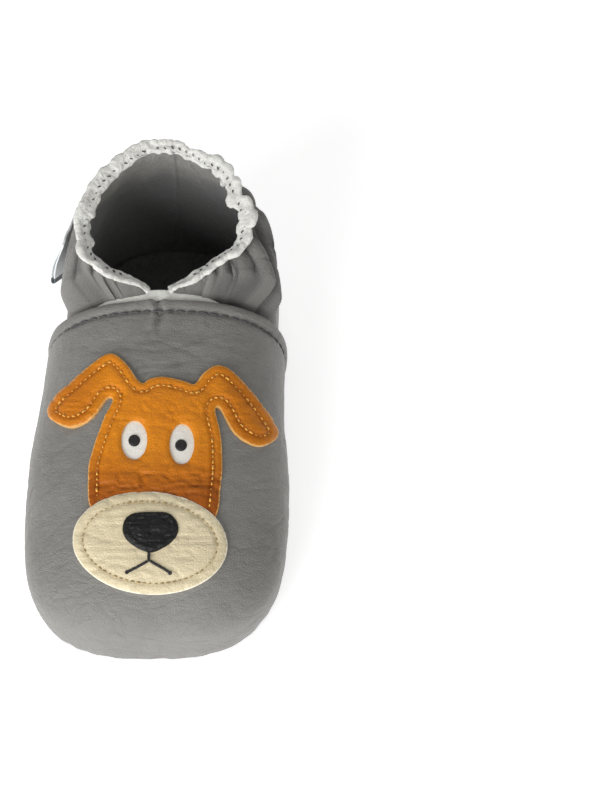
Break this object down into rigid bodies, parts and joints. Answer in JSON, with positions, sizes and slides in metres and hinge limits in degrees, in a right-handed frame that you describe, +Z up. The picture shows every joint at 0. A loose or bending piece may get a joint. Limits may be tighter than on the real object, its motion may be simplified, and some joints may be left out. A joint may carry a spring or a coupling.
{
  "type": "soft-sole baby bootie",
  "caption": "Soft-sole baby bootie: leather toe piece with a puppy's face, gathered heel quarters, elastic collar with pale binding, suede sole and a hanging side label.",
  "frame": {"origin": "on the floor, under the middle of the bootie's bounding box", "axes": "+Z up, +Y towards the heel, -Y towards the toe, +X towards the wearer's other foot (this is the right foot)"},
  "size_m": [0.0676, 0.1328, 0.0582],
  "materials": {
    "grey_leather": "soft matt pebbled leather",
    "orange_leather": "soft pebbled leather with a pale cut edge",
    "cream_leather": "soft pebbled leather",
    "white_leather": "smooth leather",
    "black_leather": "padded, slightly glossy leather",
    "sole_suede": "napped suede",
    "pale_suede": "napped off-white flesh side of leather",
    "dark_lining": "brushed charcoal lining",
    "padding": "soft felt",
    "elastic": "woven elastic",
    "grey_thread": "twisted polyester thread",
    "gold_thread": "twisted polyester thread",
    "tan_thread": "twisted polyester thread",
    "black_thread": "close embroidery",
    "ribbon": "woven satin ribbon with a dark blue hem"
  },
  "bodies": {
    "upper": {"outsole": "sole_suede", "sole_padding": "padding", "insole": "dark_lining", "vamp": "grey_leather", "vamp_lining": "pale_suede", "quarter_outer": "grey_leather", "quarter_inner": "grey_leather", "quarter_lining_outer": "dark_lining", "quarter_lining_inner": "dark_lining", "collar_binding": "pale_suede", "collar_elastic": "elastic", "head_patch": "orange_leather", "muzzle_patch": "cream_leather", "eye_patch_left": "white_leather", "eye_patch_right": "white_leather", "pupil_left": "black_thread", "pupil_right": "black_thread", "nose": "black_leather", "mouth_thread": "black_thread", "head_thread": "gold_thread", "muzzle_thread": "tan_thread", "vamp_thread": "grey_thread", "collar_thread": "grey_thread", "heel_thread": "grey_thread", "sole_thread": "grey_thread"},
    "label": {"side_label": "ribbon"}
  },
  "joints": [
    {"name": "label_swing", "type": "hinge", "parent": "upper", "child": "label", "pos_m": [-0.0232, 0.0376, 0.0454], "axis": [0.1736, 0.9848, 0], "range_deg": [0, 100]}
  ]
}
